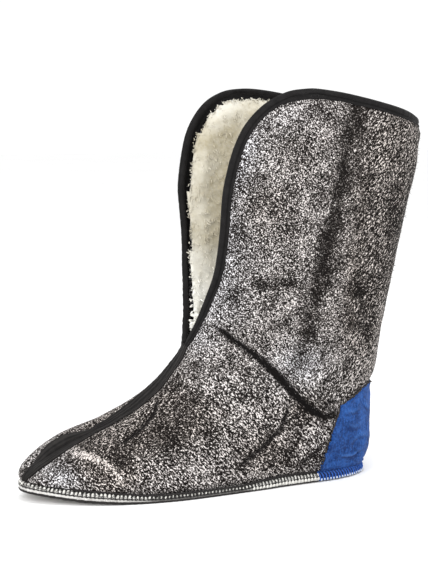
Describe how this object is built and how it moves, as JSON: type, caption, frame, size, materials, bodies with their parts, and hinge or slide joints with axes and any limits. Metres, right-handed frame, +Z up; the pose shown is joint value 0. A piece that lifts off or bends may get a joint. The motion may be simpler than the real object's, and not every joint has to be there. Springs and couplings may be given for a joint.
{
  "type": "insulated boot liner",
  "caption": "Removable felt inner boot with metallised outer face, pile lining, bound open throat, sewn felt sole and blue heel counter.",
  "frame": {"origin": "middle of the liner's box on the floor plane, under the sole", "axes": "+Z up, the toe points to -X, the outer side of the left foot is at -Y"},
  "size_m": [0.3212, 0.1226, 0.2973],
  "materials": {
    "metallised_felt": "speckled silver and brown-black felt with a metallic glint",
    "sole_felt": "pressed grey-white felt",
    "pile": "cream wool pile",
    "overlock_edge": "felt edge overlocked with black thread",
    "blue_edge": "blue cloth edge overlocked with blue thread",
    "blue_weave": "matt blue woven cloth",
    "black_binding": "black bias tape, slightly shiny on its fold",
    "black_tape": "black ribbed tape"
  },
  "bodies": {
    "root": {"upper": "metallised_felt", "sole": "sole_felt", "insole": "pile", "sole_seam": "overlock_edge", "heel_seam": "blue_edge", "heel_counter": "blue_weave", "collar_binding": "black_binding", "front_tape": "black_tape"}
  },
  "joints": []
}
